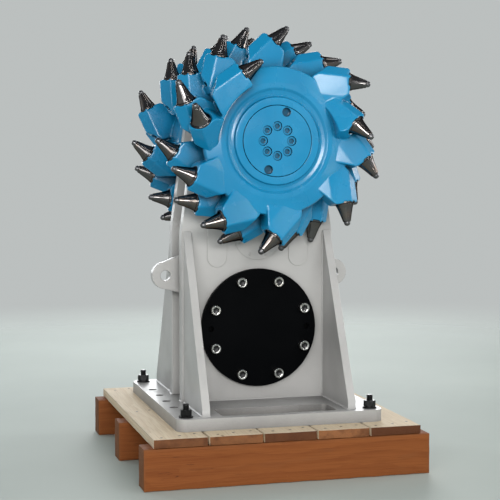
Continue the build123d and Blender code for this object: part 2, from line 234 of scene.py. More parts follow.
def timber(name, along, pale, mid, deep, knot, grey, ring_mm, rough, figure=0.85, ends=None):
    """solid wood: rings about a pith line, fibres, knots, sawn faces"""
    f = Finish(name)
    tc = f.node("ShaderNodeTexCoord")
    board = f.attribute("board")
    shift = f.node("ShaderNodeCombineXYZ")
    for k, factor in enumerate((0.37, 0.61, 0.083) if along == "Y" else (1.37, 0.037, 0.083)):
        f.wire(f.math("MULTIPLY", board, factor), shift.inputs[k])
    moved = f.node("ShaderNodeVectorMath", operation="ADD")
    f.wire(tc.outputs["Object"], moved.inputs[0])
    f.wire(shift.outputs[0], moved.inputs[1])

    def stretched(across, with_grain):
        m = f.node("ShaderNodeMapping")
        m.inputs["Scale"].default_value = (with_grain, across, across) if along == "X" else (across, with_grain, across)
        f.wire(moved.outputs[0], m.inputs["Vector"])
        return m.outputs["Vector"]

    warp = f.node("ShaderNodeTexNoise")
    warp.inputs["Scale"].default_value = 1.0
    warp.inputs["Detail"].default_value = 3.0
    f.wire(stretched(9.0, 2.2), warp.inputs["Vector"])
    off = f.node("ShaderNodeVectorMath", operation="SCALE")
    f.wire(warp.outputs["Color"], off.inputs[0])
    off.inputs["Scale"].default_value = 0.045
    bent = f.node("ShaderNodeVectorMath", operation="ADD")
    f.wire(moved.outputs[0], bent.inputs[0])
    f.wire(off.outputs[0], bent.inputs[1])
    wave = f.node("ShaderNodeTexWave", wave_type="RINGS", rings_direction=along)
    wave.wave_profile = "SAW"
    wave.inputs["Scale"].default_value = math.pi / (10.0 * ring_mm * MM)
    wave.inputs["Distortion"].default_value = 0.9
    wave.inputs["Detail"].default_value = 2.0
    f.wire(bent.outputs[0], wave.inputs["Vector"])
    rings = wave.outputs["Fac"]
    fibre = f.noise(stretched(520.0, 9.0), 1.0, 4.0, 0.62)
    stain = f.noise(stretched(7.0, 2.0), 1.0, 4.0, 0.6)
    blotch = f.noise(stretched(24.0, 5.0), 1.0, 5.0, 0.6)
    base = f.mix(f.ramp(rings, 0.15, 1.0, 0.0, figure), pale, mid)
    base = f.mix(f.ramp(fibre, 0.42, 0.75, 0.0, 0.55), base, deep)
    base = f.mix(f.ramp(stain, 0.45, 0.75, 0.0, 0.55), base, mid)
    base = f.mix(f.ramp(blotch, 0.55, 0.8, 0.0, 0.45), base, grey)
    spots = f.node("ShaderNodeTexVoronoi", feature="F1")
    spots.inputs["Scale"].default_value = 1.0
    m = f.node("ShaderNodeMapping")
    m.inputs["Scale"].default_value = (3.4, 7.5, 1.2) if along == "X" else (7.5, 3.4, 1.2)
    f.wire(bent.outputs[0], m.inputs["Vector"])
    f.wire(m.outputs["Vector"], spots.inputs["Vector"])
    ball = spots.outputs["Distance"]
    base = f.mix(f.ramp(ball, 0.10, 0.20, 0.55, 0.0), base, mid)
    core = f.ramp(ball, 0.055, 0.085, 0.9, 0.0)
    base = f.mix(core, base, knot)
    edge = f.attribute("edge")
    base = f.mix(f.math("MULTIPLY", edge, 0.35), base, grey)
    crack = f.noise(stretched(60.0, 1.6), 1.0, 3.0, 0.55)
    line = f.ramp(f.math("ABSOLUTE", f.math("SUBTRACT", crack, 0.5)), 0.0, 0.006, 0.75, 0.0)
    where = f.ramp(stain, 0.52, 0.60)
    line = f.math("MULTIPLY", line, where)
    base = f.mix(line, base, knot)
    saw = f.noise(f.coords((6.0, 900.0, 6.0) if along == "Y" else (900.0, 6.0, 6.0)), 1.0, 1.0)
    if ends is not None:
        geo = f.node("ShaderNodeNewGeometry")
        split = f.node("ShaderNodeSeparateXYZ")
        f.wire(geo.outputs["Normal"], split.inputs[0])
        facing = f.math("ABSOLUTE", split.outputs["XYZ".index(along)])
        tone = f.node("ShaderNodeTexNoise", noise_dimensions="1D")
        f.wire(f.math("MULTIPLY", board, 3.7), tone.inputs["W"])
        tone.inputs["Detail"].default_value = 0.0
        end = f.mix(f.ramp(tone.outputs["Fac"], 0.35, 0.65), ends[0], ends[1])
        end = f.mix(f.ramp(blotch, 0.40, 0.65, 0.0, 0.7), end, ends[0])
        end = f.mix(f.ramp(fibre, 0.45, 0.7, 0.0, 0.5), end, knot)
        base = f.mix(f.ramp(facing, 0.80, 0.95), base, end)
    f.bump([(fibre, 0.5, 0.0008), (rings, 0.12, 0.0010), (saw, 0.10, 0.0006), (core, 0.3, 0.001)])
    return f.set(Base_Color=base, Roughness=f.ramp(fibre, 0.2, 0.8, rough, rough + 0.15), Specular_IOR_Level=0.18)


MAT = {
    "case_paint": enamel("case_paint", (0.415, 0.410, 0.401), (0.475, 0.470, 0.460), (0.352, 0.347, 0.340),
                         (0.20, 0.18, 0.15), 0.40, 0.15, painted_shade_depth=0.35),
    "drum_paint": enamel("drum_paint", (0.004, 0.205, 0.405), (0.007, 0.235, 0.452), (0.003, 0.175, 0.352),
                         (0.008, 0.110, 0.195), 0.24, 0.04, 0.66, spec=0.42, painted_shade_reach_mm=55.0, painted_shade_depth=0.92,
                         closed=0.28, clear=0.90),
    "cover_black": enamel("cover_black", (0.0007, 0.0010, 0.0015), (0.0016, 0.0018, 0.0022), (0.0004, 0.0006, 0.0009),
                          (0.003, 0.003, 0.0026), 0.50, 0.0, 0.62, spec=0.03),
    "motor_casting": enamel("motor_casting", (0.05, 0.05, 0.05), (0.07, 0.07, 0.07), (0.03, 0.03, 0.03),
                            (0.05, 0.04, 0.03), 0.6, 0.0),
    "zinc_bolts": bare_steel("zinc_bolts", (0.33, 0.33, 0.32), (0.58, 0.58, 0.565), 0.24, 0.4, (0.44, 0.42, 0.36)),
    "black_bolts": bare_steel("black_bolts", (0.018, 0.018, 0.019), (0.045, 0.045, 0.046), 0.36, 0.3),
    "pick_steel": bare_steel("pick_steel", (0.070, 0.067, 0.067), (0.205, 0.197, 0.196), 0.12, 0.25,
                             (0.170, 0.136, 0.114), tint_edge=0.10),
    "shaft_steel": bare_steel("shaft_steel", (0.35, 0.35, 0.35), (0.5, 0.5, 0.5), 0.3, 0.6),
    "bearer_timber": timber("bearer_timber", "X", (0.220, 0.068, 0.016), (0.170, 0.047, 0.010), (0.115, 0.029, 0.007),
                            (0.036, 0.011, 0.004), (0.158, 0.064, 0.024), 13.0, 0.62, 0.5,
                            ((0.17, 0.058, 0.017), (0.24, 0.095, 0.032))),
    "deck_timber": timber("deck_timber", "Y", (0.70, 0.59, 0.43), (0.60, 0.47, 0.31), (0.40, 0.29, 0.18),
                          (0.110, 0.060, 0.030), (0.50, 0.44, 0.36), 9.0, 0.60, 0.6,
                          ((0.072, 0.021, 0.007), (0.250, 0.100, 0.038))),
}
CARBIDE = bare_steel("pick_tip_carbide", (0.10, 0.10, 0.105), (0.20, 0.20, 0.205), 0.34, 0.2)
NAIL = bare_steel("nail_head", (0.14, 0.12, 0.10), (0.30, 0.27, 0.24), 0.42, 0.2, (0.22, 0.10, 0.045))

# the flange lies in the shadow of the case: its copy of the case paint carries stronger painted shade, darkest deep in
# its windows
FLANGE_SHADED = enamel("flange_paint_shaded", (0.42, 0.415, 0.406), (0.48, 0.475, 0.465), (0.355, 0.350, 0.343),
                (0.20, 0.18, 0.15), 0.42, 0.10, painted_shade_reach_mm=150.0, painted_shade_depth=0.92, closed=0.25, clear=0.92)

for n, o in NODES.items():
    o.data.materials.clear()
    o.data.materials.append(MAT[SLOT[n]])


# --------------------------------------------------------------- mesh helpers
def add(name, me, body, slot=None, mats=None, smooth_deg=38.0, weighted=False):
    for p in me.polygons:
        p.use_smooth = True
    me.set_sharp_from_angle(angle=math.radians(smooth_deg))
    for m in (mats or [MAT[slot]]):
        me.materials.append(m)
    o = bpy.data.objects.new(name, me)
    scene.collection.objects.link(o)
    if weighted:
        w = o.modifiers.new("weighted_normals", "WEIGHTED_NORMAL")
        w.keep_sharp = True
        w.weight = 90
    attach(o, body)
    return o


def attribute(me, name, values):
    a = me.attributes.get(name) or me.attributes.new(name, "FLOAT", "POINT")
    a.data.foreach_set("value", values)


def refine(node, width_mm, segments=2, angle=30.0, smooth_deg=50.0):
    """the node's own shape with its edges rounded over, standing for the node"""
    bm = bmesh.new()
    bm.from_mesh(NODES[node].data)
    bmesh.ops.remove_doubles(bm, verts=bm.verts, dist=2e-5)
    bmesh.ops.dissolve_limit(bm, angle_limit=math.radians(0.4), verts=bm.verts, edges=bm.edges,
                             use_dissolve_boundaries=False)
    bm.normal_update()
    for e in bm.edges:
        e.smooth = True
    sharp = [e for e in bm.edges if len(e.link_faces) == 2 and e.calc_face_angle(0.0) > math.radians(angle)]
    new = bmesh.ops.bevel(bm, geom=sharp, offset=width_mm * MM, offset_type="OFFSET", segments=segments,
                          profile=0.5, affect="EDGES", clamp_overlap=True)
    rounded = set(new["faces"])
    layer = bm.verts.layers.float.new("edge")
    for v in bm.verts:
        v[layer] = 1.0 if v.link_faces and all(f in rounded for f in v.link_faces) else 0.0
    me = bpy.data.meshes.new(node + "_finish")
    bm.to_mesh(me)
    bm.free()
    o = add(node + "_finish", me, BODY[node], SLOT[node], smooth_deg=smooth_deg, weighted=True)
    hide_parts(node)
    return o


def basis(origin, axis, outward=None):
    z = Vector(axis).normalized()
    x = Vector(outward) if outward is not None else (Vector((1, 0, 0)) if abs(z.x) < 0.9 else Vector((0, 1, 0)))
    x = (x - z * x.dot(z)).normalized()
    y = z.cross(x)
    m = Matrix((x, y, z)).transposed().to_4x4()
    m.translation = Vector(origin)
    return m


def stack(bm, m, rings, segs=48, mat=None, cap=True, along=None, cut=None):
    """rings of (height, radius or radius of the angle) in mm, joined into a skin.
    mat gives the material of each band, along the attribute value of each ring; cut is not used."""
    layer = bm.verts.layers.float.get("along") or bm.verts.layers.float.new("along")
    rows = []
    for k, (h, r) in enumerate(rings):
        row = []
        for i in range(segs):
            t = 2 * math.pi * i / segs
            rr = r(t) if callable(r) else r
            v = bm.verts.new(m @ Vector((rr * math.cos(t) * MM, rr * math.sin(t) * MM, h * MM)))
            v[layer] = (along[k] if along else h * 0.015)
            row.append(v)
        rows.append(row)
    for k in range(len(rows) - 1):
        for i in range(segs):
            j = (i + 1) % segs
            f = bm.faces.new((rows[k][i], rows[k][j], rows[k + 1][j], rows[k + 1][i]))
            if mat:
                f.material_index = mat[k]
    if cap:
        for row, flip in ((rows[0], True), (rows[-1], False)):
            c = bm.verts.new(sum((v.co for v in row), Vector()) / segs)
            c[layer] = row[0][layer]
            for i in range(segs):
                j = (i + 1) % segs
                f = bm.faces.new((c, row[j], row[i]) if flip else (c, row[i], row[j]))
                if mat:
                    f.material_index = mat[0] if flip else mat[-1]


def hexagon(af, turn=0.0):
    def r(t):
        k = (t - turn) % (math.pi / 3) - math.pi / 6
        return af / 2 / math.cos(k)
    return r


def capped(radius, limit):
    return lambda t: min(radius(t), limit)


def to_mesh(bm, name):
    bmesh.ops.recalc_face_normals(bm, faces=bm.faces)
    me = bpy.data.meshes.new(name)
    bm.to_mesh(me)
    bm.free()
    return me


def bead(bm, points, radius_mm, closed, seed, normals=None, flatten=0.75, step_mm=3.0):
    """a run of weld along points: rippled, a little uneven, half sunk in the corner"""
    layer = bm.verts.layers.float.get("bead") or bm.verts.layers.float.new("bead")
    rnd = random.Random(seed)
    pts = [Vector(p) for p in points]
    path = []
    n = len(pts)
    for k in range(n if closed else n - 1):
        a, b = pts[k], pts[(k + 1) % n]
        steps = max(1, int((b - a).length / (step_mm * MM)))
        for s in range(steps):
            t = s / steps
            nn = None
            if normals:
                nn = (normals[k] * (1 - t) + normals[(k + 1) % n] * t).normalized()
            path.append((a.lerp(b, t), nn))
    if not closed:
        path.append((pts[-1], normals[-1] if normals else None))
    total = len(path)
    rows = []
    phase = rnd.random() * 10
    for k, (p, nn) in enumerate(path):
        before = path[(k - 1) % total][0] if (closed or k > 0) else p
        after = path[(k + 1) % total][0] if (closed or k < total - 1) else p
        d = (after - before)
        if d.length < 1e-9:
            d = Vector((0, 0, 1))
        d.normalize()
        up = nn if nn is not None else Vector((0, 0, 1))
        side = d.cross(up)
        if side.length < 1e-6:
            side = d.orthogonal()
        side.normalize()
        up = side.cross(d).normalized()
        wob = noise.noise(p * 60.0 + Vector((phase, 0, 0)))
        rr = radius_mm * MM * (1.0 + 0.16 * wob + (0.10 if k % 2 else -0.04))
        if not closed and k in (0, total - 1):
            rr *= 0.35
        row = []
        for i in range(8):
            t = 2 * math.pi * i / 8
            v = bm.verts.new(p + side * (rr * math.cos(t)) + up * (rr * flatten * math.sin(t)))
            v[layer] = 1.0
            row.append(v)
        rows.append(row)
    for k in range(total if closed else total - 1):
        a, b = rows[k], rows[(k + 1) % total]
        for i in range(8):
            j = (i + 1) % 8
            bm.faces.new((a[i], a[j], b[j], b[i]))
    if not closed:
        for row in (rows[0], rows[-1]):
            bm.faces.new(row)


def holed_disc(bm, m, radius, low, high, holes, edge_mm, segs=128):
    """round plate from low to high with blind holes (x, y, r, depth), its rims rounded"""
    layer = bm.verts.layers.float.get("edge") or bm.verts.layers.float.new("edge")

    def point(x, y, z, e=0.0):
        v = bm.verts.new(m @ Vector((x * MM, y * MM, z * MM)))
        v[layer] = e
        return v

    def circle(cx, cy, r, n):
        return [(cx + r * math.cos(2 * math.pi * k / n), cy + r * math.sin(2 * math.pi * k / n)) for k in range(n)]

    def skirt(top, cx, cy, rings, n, e):
        row = top
        for r, z in rings:
            nxt = [point(x, y, z, e) for x, y in circle(cx, cy, r, n)]
            for i in range(n):
                j = (i + 1) % n
                bm.faces.new((row[i], row[j], nxt[j], nxt[i]))
            row = nxt
            e = 0.0
        return row

    flat, loops, owner = [], [], []
    for cx, cy, r, n in [(0.0, 0.0, radius - edge_mm, segs)] + [(x, y, r + 0.6 * edge_mm, 40) for x, y, r, _ in holes]:
        start = len(flat)
        flat += circle(cx, cy, r, n)
        loops += [(start + k, start + (k + 1) % n) for k in range(n)]
        owner.append((start, n))
    # a few rings inside the face keep its triangles even
    for r in (24.0, 62.0):
        flat += circle(0.0, 0.0, r, 36)
    pts, _, tris, *_ = geometry.delaunay_2d_cdt([Vector(p) for p in flat], loops, [], 0, 1e-6)
    verts = [point(p.x, p.y, high) for p in pts]
    inside = math.cos(math.pi / 40)
    for tri in tris:
        c = sum((pts[k] for k in tri), Vector((0, 0))) / 3
        if any((c - Vector((x, y))).length < (r + 0.6 * edge_mm) * inside for x, y, r, _ in holes):
            continue
        bm.faces.new([verts[k] for k in tri])

    def nearest(x, y):
        return min(range(len(pts)), key=lambda k: (pts[k].x - x) ** 2 + (pts[k].y - y) ** 2)

    arc = [(math.sin(math.radians(a)), 1 - math.cos(math.radians(a))) for a in (30, 60, 90)]
    start, n = owner[0]
    rim = [verts[nearest(*flat[start + k])] for k in range(n)]
    low_row = skirt(rim, 0, 0, [(radius - edge_mm + edge_mm * u, high - edge_mm * w) for u, w in arc] + [(radius, low)],
                    n, 1.0)
    bm.faces.new(low_row)
    for (start, n), (x, y, r, depth) in zip(owner[1:], holes):
        e = 0.6 * edge_mm
        rim = [verts[nearest(*flat[start + k])] for k in range(n)]
        floor_row = skirt(rim, x, y, [(r + e - e * u, high - e * w) for u, w in arc]
                          + [(r, high - depth + 1.0), (r - 1.0, high - depth)], n, 1.0)
        bm.faces.new(floor_row)


# ------------------------------------------------------- gear case and flange
for n, width in (("case_plate_front", 1.6), ("case_plate_rear", 1.6), ("case_shell", 1.2), ("mounting_flange", 2.2),
                 ("gusset_front_left", 1.6), ("gusset_front_right", 1.6), ("gusset_rear_left", 1.6),
                 ("gusset_rear_right", 1.6), ("lifting_lug_left", 2.0), ("lifting_lug_right", 2.0),
                 ("case_pads_front", 1.0), ("case_pads_rear", 1.0), ("idler_cap_front", 0.9), ("idler_cap_rear", 0.9),
                 ("shaft_bearing_front", 1.2), ("shaft_bearing_rear", 1.2), ("side_ports_left", 1.2),
                 ("side_ports_right", 1.2), ("motor_cover_front", 1.6), ("motor_cover_rear", 1.6)):
    o = refine(n, width)
    # the flange takes the copy of the case paint with stronger painted shade
    if n == "mounting_flange":
        o.data.materials[0] = FLANGE_SHADED

# weld runs of the frame: (start, end, way out of the corner, radius in mm)
gx0, gx1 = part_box("gusset_front_right")[0].x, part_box("gusset_front_right")[1].x
gy0, gy1 = abs(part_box("gusset_front_right")[1].y), abs(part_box("gusset_front_right")[0].y)
gz1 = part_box("gusset_front_right")[1].z
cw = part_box("case_plate_front")[1].x
ci = abs(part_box("case_plate_front")[1].y)
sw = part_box("case_shell")[1].x
runs = []
for side, s in SIDES:
    for hand, h in HANDS:
        for gx, out in ((gx0, -h), (gx1, h)):
            x = h * gx
            runs.append(((x, s * (gy0 + 0.004), Z0), (x, s * gy1, Z0), (out, 0, 1), 4.2))
            runs.append(((x, s * gy0, Z0 + 0.004), (x, s * gy0, gz1 - 0.004), (out, s, 0), 4.2))
        runs.append(((h * gx0, s * gy1, Z0), (h * gx1, s * gy1, Z0), (0, s, 1), 3.6))
        runs.append(((h * cw, s * ci, Z0), (h * cw, s * gy0, Z0), (h, 0, 1), 4.2))
        runs.append(((h * sw, s * ci, Z0 + 0.004), (h * sw, s * ci, gz1 - 0.002), (h, -s, 0), 3.4))
    runs.append(((-gx0, s * gy0, Z0), (gx0, s * gy0, Z0), (0, s, 1), 4.4))
for hand, h in HANDS:
    runs.append(((h * sw, -ci, Z0), (h * sw, ci, Z0), (h, 0, 1), 3.6))
    z_lo, z_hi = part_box(f"lifting_lug_{hand}")
    for s in (-1, 1):
        runs.append(((h * sw, s * 0.012, z_lo.z + 0.003), (h * sw, s * 0.012, z_hi.z - 0.003), (h, s, 0), 4.0))
bm = bmesh.new()
for k, (a, b, out, r) in enumerate(runs):
    up = Vector(out).normalized()
    bead(bm, [a, b], r, False, 100 + k, [up, up])
frame_welds = add("frame_welds", to_mesh(bm, "frame_welds"), "head", "case_paint", smooth_deg=60)


# ------------------------------------------------------------------ fasteners
def socket_screw(bm, m, d, h, hex_af, hex_depth, knurl=True):
    """cap head standing on the plane z = 0 of m"""
    r = d / 2
    segs = 96
    ribs = (lambda t: r - (0.0 if int(round(t * segs / (2 * math.pi))) % 2 else 0.42)) if knurl else r
    rings = [(0.0, r - 0.5), (0.25, r), (1.2, r), (1.8, ribs), (h - 3.4, ribs), (h - 2.9, r - 0.1), (h - 1.5, r - 0.35),
             (h - 0.5, r - 1.1), (h, r - 2.0), (h, hex_af / 2 * 1.24), (h - 0.7, hexagon(hex_af)),
             (h - hex_depth, hexagon(hex_af)), (h - hex_depth - 1.6, hex_af * 0.22)]
    along = [0.0, 0.02, 0.04, 0.06, 0.2, 0.23, 0.26, 0.30, 0.36, 0.6, 0.62, 0.7, 0.8]
    # the bands down in the hex socket take the black steel: painted shade for the deep socket
    stack(bm, m, rings, segs, cap=True, along=along, mat=[0] * 10 + [1, 1])


screw_points = [22.5 + 45.0 * k for k in range(8)]
for side, s in SIDES:
    lo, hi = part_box(f"cover_bolts_{side}")
    mid_z = (lo.z + hi.z) / 2
    face = lo.y if s > 0 else hi.y
    pcr = 145.0
    bm = bmesh.new()
    rnd = random.Random(5 + s)
    for a in screw_points:
        t = math.radians(a)
        at = Vector((pcr * MM * math.cos(t), face, mid_z + pcr * MM * math.sin(t)))
        turn = rnd.random() * math.pi
        m = basis(at, (0, s, 0), (math.cos(turn), 0, math.sin(turn)))
        socket_screw(bm, m, 30.0, 20.0, 17.0, 11.0)
    # the second material darkens the sockets as painted shade
    o = add(f"cover_screws_{side}", to_mesh(bm, "cover_screws"), "head", "zinc_bolts",
            mats=[MAT["zinc_bolts"], MAT["black_bolts"]], smooth_deg=28)
    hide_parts(f"cover_bolts_{side}")

    lo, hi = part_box(f"idler_screws_{side}")
    mid_z = (lo.z + hi.z) / 2
    face = lo.y if s > 0 else hi.y
    bm = bmesh.new()
    for k in range(8):
        t = math.radians(22.5 + 45 * k)
        at = Vector((60.0 * MM * math.cos(t), face, mid_z + 60.0 * MM * math.sin(t)))
        m = basis(at, (0, s, 0), (math.cos(k), 0, math.sin(k)))
        stack(bm, m, [(0, 5.0), (0.5, 4.95), (1.1, 4.4), (1.5, 3.4), (1.6, 2.9), (1.4, hexagon(4.0)), (0.4, hexagon(4.0))],
              36)
    o = add(f"idler_screw_heads_{side}", to_mesh(bm, "idler_screw_heads"), "head", "case_paint", smooth_deg=28)
    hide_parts(f"idler_screws_{side}")

# hold-down studs with washer and nut
lo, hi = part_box("hold_down_bolts")
stud_x, stud_y = hi.x - 20.0 * MM, hi.y - 20.0 * MM
bm = bmesh.new()
for k, (sx, sy) in enumerate(((-1, -1), (1, -1), (-1, 1), (1, 1))):
    at = Vector((sx * stud_x, sy * stud_y, Z0))
    turn = 0.4 + 1.3 * k
    m = basis(at, (0, 0, 1), (math.cos(turn), math.sin(turn), 0))
    stack(bm, m, [(0.0, 19.6), (0.4, 20.0), (3.4, 20.0), (4.0, 19.4), (4.0, 9.6)], 64)
    hexr = hexagon(30.0)
    stack(bm, m, [(4.0, capped(hexr, 15.4)), (5.6, capped(hexr, 17.0)), (6.2, hexr), (19.8, hexr),
                  (20.6, capped(hexr, 16.9)), (22.0, capped(hexr, 15.2)), (22.0, 10.4), (21.2, 9.2)], 72)
    rings = [(-58.0, 8.6), (-57.0, 9.0), (15.0, 9.0)]
    z = 15.0
    while z < 34.0:
        rings += [(z + 0.5, 9.0), (z + 1.25, 7.9), (z + 1.9, 7.9), (z + 2.5, 9.0)]
        z += 2.5
    rings += [(36.4, 8.6), (38.0, 7.2)]
    stack(bm, m, rings, 40)
o = add("hold_down_fasteners", to_mesh(bm, "hold_down_fasteners"), "head", "black_bolts", smooth_deg=32)
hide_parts("hold_down_bolts")


# --------------------------------------------------------------------- pallet
def plank(bm, lo, hi, div, seed, sag=0.0, rough_mm=0.35, tag=0.0, wane=0.0):
    """a sawn piece of timber with slightly uneven faces and worn arrises"""
    edge = bm.verts.layers.float.get("edge") or bm.verts.layers.float.new("edge")
    board = bm.verts.layers.float.get("board") or bm.verts.layers.float.new("board")
    lo, hi = Vector(lo), Vector(hi)
    size = hi - lo
    nx, ny, nz = div
    grid = {}

    def vert(i, j, k):
        key = (i, j, k)
        if key not in grid:
            p = Vector((lo.x + size.x * i / nx, lo.y + size.y * j / ny, lo.z + size.z * k / nz))
            out = Vector((-1 if i == 0 else 1 if i == nx else 0, -1 if j == 0 else 1 if j == ny else 0,
                          -1 if k == 0 else 1 if k == nz else 0))
            corners = abs(out.x) + abs(out.y) + abs(out.z)
            depth = 0.5 + 0.5 * noise.noise(p * 30.0 + Vector((seed, 0, 0)))
            p = p - out * (rough_mm * MM * depth)
            if corners >= 2:
                p = p - out * (1.1 * MM * (0.4 + abs(noise.noise(p * 12.0 + Vector((seed, 5, 0))))) * (1 + wane))
            v = bm.verts.new(p)
            v[edge] = 1.0 if corners >= 2 else 0.0
            v[board] = tag
            grid[key] = v
        return grid[key]

    def face(a, b, c, d):
        bm.faces.new((a, b, c, d))

    for i in range(nx):
        for j in range(ny):
            face(vert(i, j, 0), vert(i, j + 1, 0), vert(i + 1, j + 1, 0), vert(i + 1, j, 0))
            face(vert(i, j, nz), vert(i + 1, j, nz), vert(i + 1, j + 1, nz), vert(i, j + 1, nz))
    for i in range(nx):
        for k in range(nz):
            face(vert(i, 0, k), vert(i + 1, 0, k), vert(i + 1, 0, k + 1), vert(i, 0, k + 1))
            face(vert(i, ny, k), vert(i, ny, k + 1), vert(i + 1, ny, k + 1), vert(i + 1, ny, k))
    for j in range(ny):
        for k in range(nz):
            face(vert(0, j, k), vert(0, j, k + 1), vert(0, j + 1, k + 1), vert(0, j + 1, k))
            face(vert(nx, j, k), vert(nx, j + 1, k), vert(nx, j + 1, k + 1), vert(nx, j, k + 1))


blo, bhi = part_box("pallet_bearers")
BEARER_W = 75.0 * MM
bearer_y = (blo.y + BEARER_W / 2, 0.0, bhi.y - BEARER_W / 2)
bm = bmesh.new()
for k, y in enumerate(bearer_y):
    plank(bm, (blo.x, y - BEARER_W / 2, blo.z), (bhi.x, y + BEARER_W / 2, bhi.z), (110, 10, 16), 3.1 * k + 1, tag=1.0 + k,
          rough_mm=0.5, wane=0.8)
o = add("pallet_bearer_timbers", to_mesh(bm, "pallet_bearer_timbers"), "head", "bearer_timber", smooth_deg=50)
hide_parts("pallet_bearers")

dlo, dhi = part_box("pallet_deck")
BOARD_W, BOARD_GAP = 148.4 * MM, 4.0 * MM
bm = bmesh.new()
boards_x = []
for k in range(5):
    x0 = dlo.x + k * (BOARD_W + BOARD_GAP)
    boards_x.append(x0 + BOARD_W / 2)
    plank(bm, (x0, dlo.y, dlo.z), (x0 + BOARD_W, dhi.y, dhi.z), (18, 110, 3), 7.7 * k + 2, tag=4.3 * k + 1.0, wane=0.3)
o = add("pallet_deck_boards", to_mesh(bm, "pallet_deck_boards"), "head", "deck_timber", smooth_deg=50)
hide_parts("pallet_deck")

bm = bmesh.new()
rnd = random.Random(41)
for x in boards_x:
    for y in bearer_y:
        for dx, dy in ((-0.047, -0.012), (0.047, 0.013), (0.002, 0.0)):
            at = Vector((x + dx + rnd.uniform(-6, 6) * MM, y + dy + rnd.uniform(-5, 5) * MM, dhi.z - 0.9 * MM))
            lean = Vector((rnd.uniform(-0.05, 0.05), rnd.uniform(-0.05, 0.05), 1))
            stack(bm, basis(at, lean), [(-3.0, 3.6), (0.2, 4.0), (0.9, 4.0), (1.3, 3.4), (1.4, 2.0)], 20)
add("pallet_nail_heads", to_mesh(bm, "pallet_nail_heads"), "head", "black_bolts", mats=[NAIL], smooth_deg=35)

# ---------------------------------------------------------------- drum bodies
CORE = [  # radius and distance along the shaft in mm, radius of the rounding
    (60.5, 95.0, 0), (168.0, 95.0, 3), (186.0, 101.0, 4), (192.0, 112.0, 4), (192.0, 242.0, 4), (203.0, 249.0, 4),
    (207.0, 256.0, 3), (207.0, 269.0, 4), (204.0, 275.5, 4), (176.0, 279.1, 9), (161.0, 281.5, 9),
    (147.0, 281.6, 4), (140.0, 276.4, 4), (131.0, 274.4, 4),
    (123.0, 276.6, 2.5), (120.0, 284.0, 2.4), (99.6, 284.0, 1.2), (98.5, 272.0, 0),
    (98.5, 261.5, 0), (60.5, 261.5, 0), (60.5, 95.0, 0),
]


def rounded(profile):
    """corners of the profile turned into short arcs"""
    out = []
    n = len(profile)
    for k, (r, a, rad) in enumerate(profile):
        p = Vector((r, a))
        if rad <= 0 or k in (0, n - 1):
            out.append((r, a))
            continue
        u = (Vector(profile[k - 1][:2]) - p)
        w = (Vector(profile[k + 1][:2]) - p)
        half = u.angle(w) / 2
        cut = min(rad / math.tan(half), 0.45 * u.length, 0.45 * w.length)
        a0, a1 = p + u.normalized() * cut, p + w.normalized() * cut
        for s in range(5):
            t = s / 4
            out.append(tuple(a0 * (1 - t) ** 2 + p * (2 * t * (1 - t)) + a1 * t ** 2))
    return out


for side, s in SIDES:
    prof = rounded(CORE)
    bm = bmesh.new()
    stack(bm, basis((0, 0, ZA), (0, s, 0), (1, 0, 0)), [(a, r) for r, a in prof], 192, cap=False)
    bmesh.ops.remove_doubles(bm, verts=bm.verts, dist=1e-6)
    o = add(f"drum_skin_{side}", to_mesh(bm, "drum_skin"), "rotor", "drum_paint", smooth_deg=30)
    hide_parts(f"drum_body_{side}")
    bm = bmesh.new()
    holes = [(41.0 * math.cos(math.radians(45 * k)), 41.0 * math.sin(math.radians(45 * k)), 13.4, 14.0)
             for k in range(8)]
    holes += [(83.6 * math.cos(math.radians(d)), 83.6 * math.sin(math.radians(d)), 12.6, 16.0) for d in (72.0, 252.0)]
    # the cap's own plane: x right, y up, seen along the shaft from its own end
    m = Matrix(((1, 0, 0), (0, 0, s), (0, 1, 0))).to_4x4()
    m.translation = Vector((0, 0, ZA))
    holed_disc(bm, m, 98.0, 262.0, 285.0, holes, 1.0)
    o = add(f"hub_cap_{side}_finish", to_mesh(bm, "hub_cap"), "rotor", "drum_paint", smooth_deg=50, weighted=True)
    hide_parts(f"hub_cap_{side}")
    refine(f"hub_screws_{side}", 0.7, 2)

# ------------------------------------------------------------ picks, holders
PICK_LEN, LEAN = 67.0, 36.0
ROW = {"inner": (121.0, 0.0), "middle": (180.5, 0.0), "outer": (272.0, 9.0)}
RIM_PICKS = [  # (angle of the point in degrees, row, radius of the point)
    (297.0, "inner", 328.0), (277.0, "middle", 313.0), (261.0, "outer", 316.0),
    (243.0, "middle", 320.0), (227.0, "outer", 318.0), (211.0, "middle", 318.0),
    (194.0, "outer", 306.0), (179.0, "middle", 322.0), (149.5, "outer", 324.0),
    (130.0, "inner", 332.0), (113.0, "middle", 324.0), (97.0, "inner", 328.0),
    (79.0, "middle", 330.0), (62.0, "inner", 324.0), (46.0, "middle", 322.0),
    (30.0, "outer", 320.0), (14.0, "inner", 328.0), (357.0, "middle", 322.0),
    (341.0, "outer", 318.0), (326.0, "middle", 324.0), (311.5, "outer", 318.0),
]
FACE_PICKS = [  # (seat angle, seat radius, seat distance, lean, tilt)
    (120.3, 207.5, 305.0, 84.0, 10.0), (167.0, 228.5, 306.0, 46.0, 38.0), (12.0, 224.0, 306.0, 56.0, 32.0),
]


def vec(deg):
    c, n = math.cos(math.radians(deg)), math.sin(math.radians(deg))
    return Vector((c, 0, n)), Vector((n, 0, -c))


def rim_frame(deg, row, r, s):
    rad, cw_ = vec(deg)
    place, tilt = ROW[row]
    ln, tl = math.radians(LEAN), math.radians(tilt)
    axis = (rad * math.cos(ln) + cw_ * math.sin(ln)) * math.cos(tl) + Vector((0, s, 0)) * math.sin(tl)
    tip = Vector((0, s * place * MM, ZA)) + rad * r * MM
    return tip - axis * PICK_LEN * MM, axis, rad * math.sin(ln) - cw_ * math.cos(ln)


